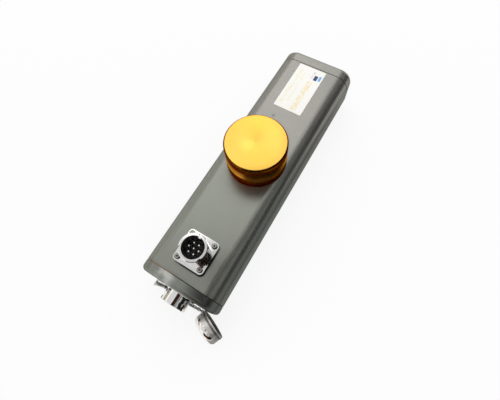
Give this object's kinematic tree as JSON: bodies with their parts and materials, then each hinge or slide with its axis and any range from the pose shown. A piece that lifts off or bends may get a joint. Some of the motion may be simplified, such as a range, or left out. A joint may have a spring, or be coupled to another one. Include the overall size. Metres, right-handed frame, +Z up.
{
  "type": "ultrasonic grade sensor",
  "caption": "Long grey metal sensor housing with a round clamping knob on top, two round bayonet connectors, a label, sound transducers in its floor and a dust cap on a chain.",
  "frame": {"origin": "on the underside of the housing, below the axis of the mounting knob", "axes": "+Y along the housing, from the connector end to the label end; +Z up through the knob; +X to the right when looking along +Y"},
  "size_m": [0.0955, 0.3187, 0.0931],
  "materials": {
    "housing": "satin grey green",
    "knob": "satin, gold anodised",
    "nickel": "bright nickel plate",
    "steel": "plain",
    "dark_steel": "blackened",
    "rubber": "matte",
    "insert": "matte",
    "gold": "gold flash",
    "board": "solder mask",
    "block": "gloss",
    "chip": "matte",
    "can": "satin",
    "wire": "matte",
    "label": "satin foil"
  },
  "bodies": {
    "sensor": {"housing_tube": "housing", "near_end_cap": "housing", "far_end_cap": "housing", "near_end_gasket": "rubber", "far_end_gasket": "rubber", "near_cap_screws": "dark_steel", "far_cap_screws": "dark_steel", "mounting_knob": "knob", "knob_washer": "steel", "knob_bolt": "steel", "circuit_board": "board", "top_wire_block": "block", "end_wire_block": "block", "board_chips": "chip", "board_capacitors": "can", "transducer_sleeves": "rubber", "transducer_screens": "steel", "transducers": "can", "transducer_leads": "wire", "label": "label", "cap_ring": "steel", "chain_lug": "nickel", "chain": "steel", "top_connector_shell": "nickel", "top_connector_gasket": "rubber", "top_connector_insert": "insert", "top_connector_pins": "gold", "top_connector_screws": "dark_steel", "top_connector_wires": "wire", "end_connector_shell": "nickel", "end_connector_gasket": "rubber", "end_connector_insert": "insert", "end_connector_pins": "gold", "end_connector_screws": "dark_steel", "end_connector_wires": "wire"},
    "cap": {"dust_cap": "nickel", "dust_cap_studs": "steel", "dust_cap_seal": "rubber"}
  },
  "joints": [
    {"name": "dust_cap_turn", "type": "hinge", "parent": "sensor", "child": "cap", "pos_m": [0.0384, -0.1606, 0.01525], "axis": [0.4067, 0.9135, 0], "continuous": true}
  ]
}
